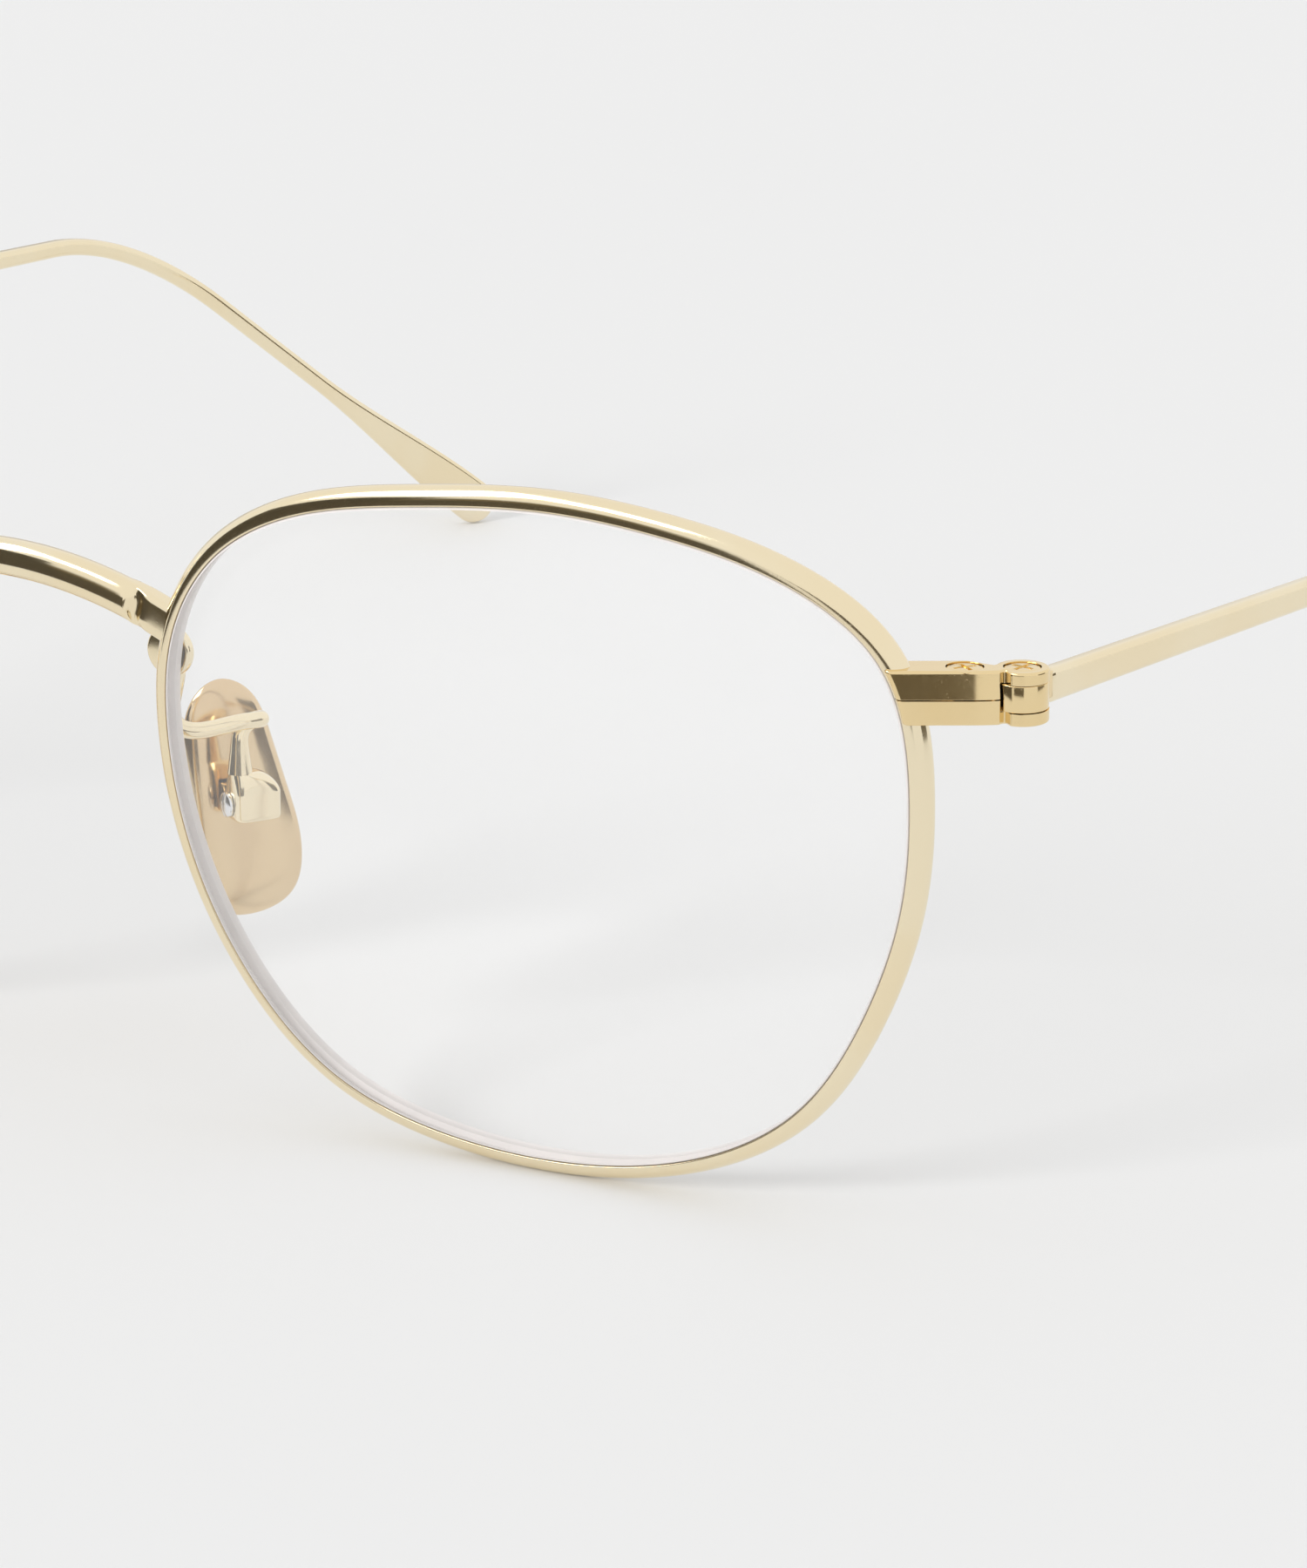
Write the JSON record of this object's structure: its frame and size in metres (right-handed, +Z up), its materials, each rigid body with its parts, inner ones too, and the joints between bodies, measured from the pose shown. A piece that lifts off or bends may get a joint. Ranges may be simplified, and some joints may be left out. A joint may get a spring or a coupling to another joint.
{
  "type": "eyeglasses",
  "caption": "Pair of full-rim metal eyeglasses with an arched bridge, rocking metal nose pads on bent arms, screw-closed rims and hinged temples that bend to flat tips.",
  "frame": {"origin": "middle of the footprint, on the surface that the rims and temple tips stand on", "axes": "+X towards the wearer's left, +Y from the front towards the temple tips, +Z up"},
  "size_m": [0.1318, 0.1304, 0.0413],
  "materials": {
    "polished_gold": "polished light yellow gold plating",
    "pad_gold": "polished amber-gold plating",
    "screw_steel": "bright nickel",
    "clear_lens": "clear, polished faces and a ground edge"
  },
  "bodies": {
    "front": {"block_lower_left": "polished_gold", "block_lower_right": "polished_gold", "block_upper_left": "polished_gold", "block_upper_right": "polished_gold", "bridge": "polished_gold", "closing_screw_left": "polished_gold", "closing_screw_right": "polished_gold", "eyewire_left": "polished_gold", "eyewire_right": "polished_gold", "hinge_screw_left": "polished_gold", "hinge_screw_right": "polished_gold", "lens_left": "clear_lens", "lens_right": "clear_lens", "pad_arm_foot_left": "polished_gold", "pad_arm_foot_right": "polished_gold", "pad_arm_left": "polished_gold", "pad_arm_right": "polished_gold", "pad_box_left": "polished_gold", "pad_box_right": "polished_gold", "pad_screw_left": "screw_steel", "pad_screw_right": "screw_steel"},
    "temple_left": {"temple_left": "polished_gold", "temple_knuckle_left": "polished_gold"},
    "temple_right": {"temple_right": "polished_gold", "temple_knuckle_right": "polished_gold"},
    "pad_left": {"nose_pad_left": "pad_gold", "pad_tab_left": "polished_gold"},
    "pad_right": {"nose_pad_right": "pad_gold", "pad_tab_right": "polished_gold"}
  },
  "joints": [
    {"name": "temple_left_hinge", "type": "hinge", "parent": "front", "child": "temple_left", "pos_m": [0.06312, -0.05731, 0.032], "axis": [0, 0, 1], "range_deg": [0, 84]},
    {"name": "temple_right_hinge", "type": "hinge", "parent": "front", "child": "temple_right", "pos_m": [-0.06312, -0.05731, 0.032], "axis": [0, 0, -1], "range_deg": [0, 78]},
    {"name": "pad_left_rock", "type": "hinge", "parent": "front", "child": "pad_left", "pos_m": [0.01145, -0.05583, 0.01745], "axis": [0.5, 0.866, 0], "range_deg": [-8, 8]},
    {"name": "pad_right_rock", "type": "hinge", "parent": "front", "child": "pad_right", "pos_m": [-0.01145, -0.05583, 0.01745], "axis": [0.5, -0.866, 0], "range_deg": [-8, 8]}
  ]
}
